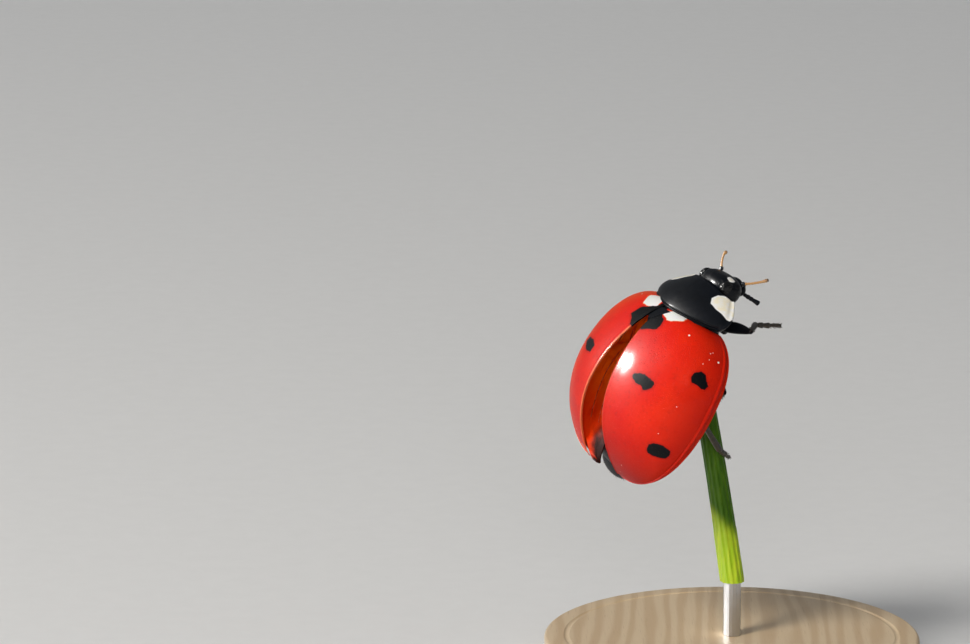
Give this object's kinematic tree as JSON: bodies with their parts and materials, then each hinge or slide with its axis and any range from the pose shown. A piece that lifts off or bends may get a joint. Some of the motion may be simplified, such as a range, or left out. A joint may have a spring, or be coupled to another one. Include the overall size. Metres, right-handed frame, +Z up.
{
  "type": "seven-spot ladybird display model",
  "caption": "Still, life-size ladybird gripping a short length of grass stem, wing cases just opened, on a plain round display stand.",
  "frame": {"origin": "centre of the flat underside of the round stand base", "axes": "+Z up through the rod, +X to the right and +Y away from the side the wing cases face"},
  "size_m": [0.012, 0.012, 0.0139],
  "materials": {
    "wing_case_red": "glossy red chitin with black spots",
    "black_chitin": "satin black chitin",
    "eye_black": "finely faceted black",
    "feeler_tan": "tan with a dark club",
    "leg_brown": "dark brown chitin with pale hairs",
    "hind_wing_amber": "amber membrane with brown veins",
    "stem_green": "fresh grass stem with fine ridges",
    "stand_wood": "satin maple",
    "stand_steel": "polished pin"
  },
  "bodies": {
    "root": {"stand_base": "stand_wood", "stand_rod": "stand_steel", "stem_perch": "stem_green", "pronotum": "black_chitin", "scutellum": "black_chitin", "head": "black_chitin", "prothorax": "black_chitin", "thorax": "black_chitin", "abdomen": "black_chitin", "mouthparts": "black_chitin", "elytron_left": "wing_case_red", "hind_wing_left": "hind_wing_amber", "eye_left": "eye_black", "elytron_right": "wing_case_red", "hind_wing_right": "hind_wing_amber", "eye_right": "eye_black", "antenna_left": "feeler_tan", "palp_left": "black_chitin", "antenna_right": "feeler_tan", "palp_right": "black_chitin", "femur_fore_right": "black_chitin", "tibia_fore_right": "leg_brown", "tarsus_fore_right": "leg_brown", "femur_mid_right": "black_chitin", "tibia_mid_right": "leg_brown", "tarsus_mid_right": "leg_brown", "femur_hind_right": "black_chitin", "tibia_hind_right": "leg_brown", "tarsus_hind_right": "leg_brown", "femur_fore_left": "black_chitin", "tibia_fore_left": "leg_brown", "tarsus_fore_left": "leg_brown", "femur_mid_left": "black_chitin", "tibia_mid_left": "leg_brown", "tarsus_mid_left": "leg_brown", "femur_hind_left": "black_chitin", "tibia_hind_left": "leg_brown", "tarsus_hind_left": "leg_brown"}
  },
  "joints": []
}
